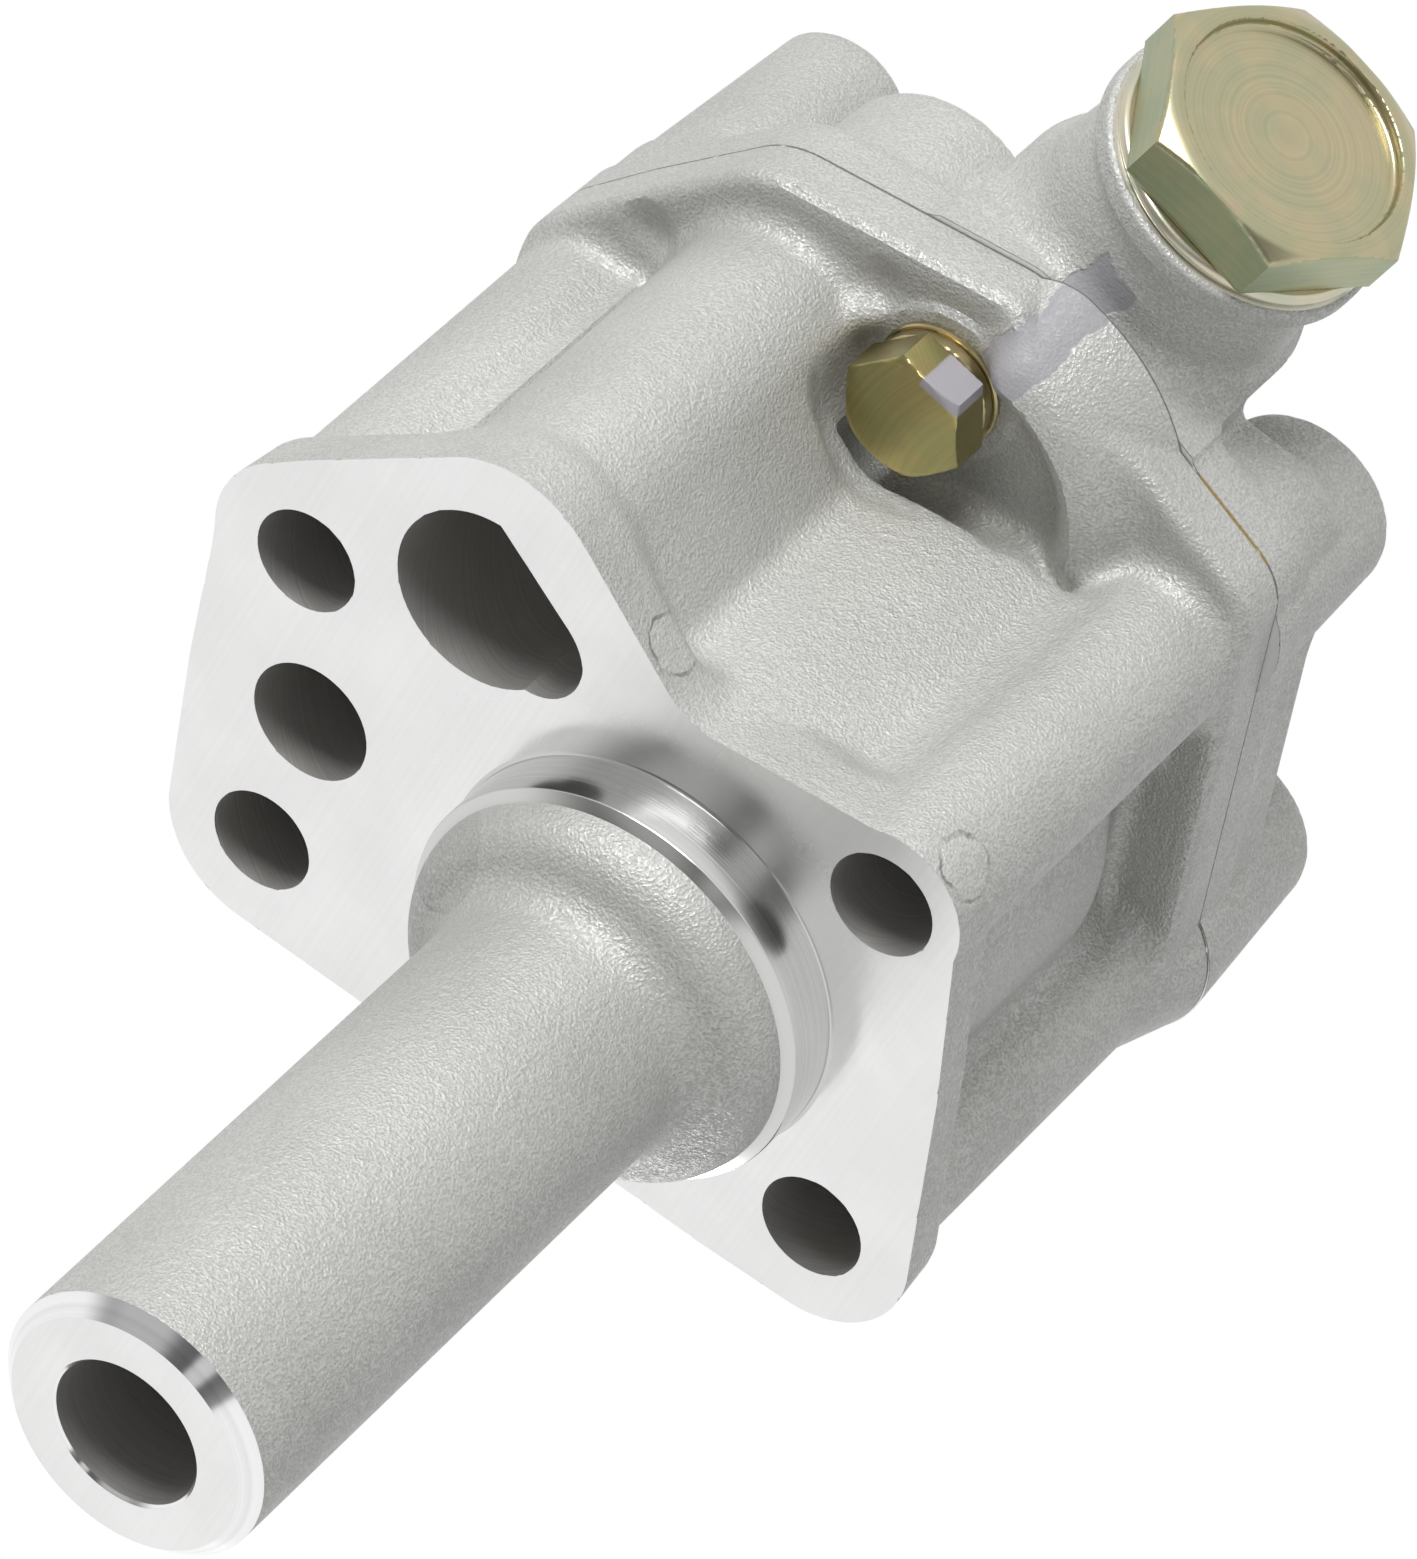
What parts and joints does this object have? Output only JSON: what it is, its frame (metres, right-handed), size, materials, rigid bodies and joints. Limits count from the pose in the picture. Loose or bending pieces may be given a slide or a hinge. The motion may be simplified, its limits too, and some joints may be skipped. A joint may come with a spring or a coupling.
{
  "type": "engine oil pump",
  "caption": "Gerotor oil pump: cast flange and long hollow drive snout, bolted cover, and a side boss with a hexagon-plugged pressure relief valve.",
  "frame": {"origin": "shaft axis in the face that bolts to the engine", "axes": "+Z along the snout, away from the cover; +Y towards the wider bolt pair's port side; +X towards the relief valve plug's side"},
  "size_m": [0.0853, 0.0712, 0.1428],
  "materials": {
    "cast_aluminium": "satin",
    "yellow_zinc": "satin",
    "spring_steel": "satin",
    "ground_steel": "gloss",
    "sintered_steel": "matte",
    "sintered_bronze": "satin"
  },
  "bodies": {
    "housing": {"pump_body": "cast_aluminium", "pump_cover": "cast_aluminium", "body_shaft_bush": "sintered_bronze", "cover_shaft_bush": "sintered_bronze", "relief_valve_spring": "spring_steel", "spring_shim": "ground_steel", "plug_sealing_washer": "yellow_zinc", "relief_valve_plug": "yellow_zinc", "cover_bolt": "yellow_zinc", "bolt_spring_washer": "yellow_zinc", "bolt_plain_washer": "yellow_zinc", "cover_dowel_pins": "ground_steel"},
    "shaft": {"drive_shaft": "ground_steel", "rotor_drive_pin": "ground_steel", "inner_rotor": "sintered_steel"},
    "rotor_ring": {"outer_rotor": "sintered_steel"},
    "valve": {"relief_valve_piston": "ground_steel"}
  },
  "joints": [
    {"name": "shaft_spin", "type": "hinge", "parent": "housing", "child": "shaft", "pos_m": [0, 0, 0], "axis": [0, 0, 1], "continuous": true},
    {"name": "outer_rotor_spin", "type": "hinge", "parent": "housing", "child": "rotor_ring", "pos_m": [0, 0.0026, -0.035], "axis": [0, 0, 1], "continuous": true},
    {"name": "relief_valve_slide", "type": "slide", "parent": "housing", "child": "valve", "axis": [0.8949, -0.4462, 0], "range_m": [0, 0.009], "stiffness_N_per_m": 3000, "springref_m": -0.008, "deforming": ["relief_valve_spring"]}
  ],
  "couplings": [
    {"joint": "shaft_spin", "follows": "outer_rotor_spin", "ratio": 1.25}
  ]
}
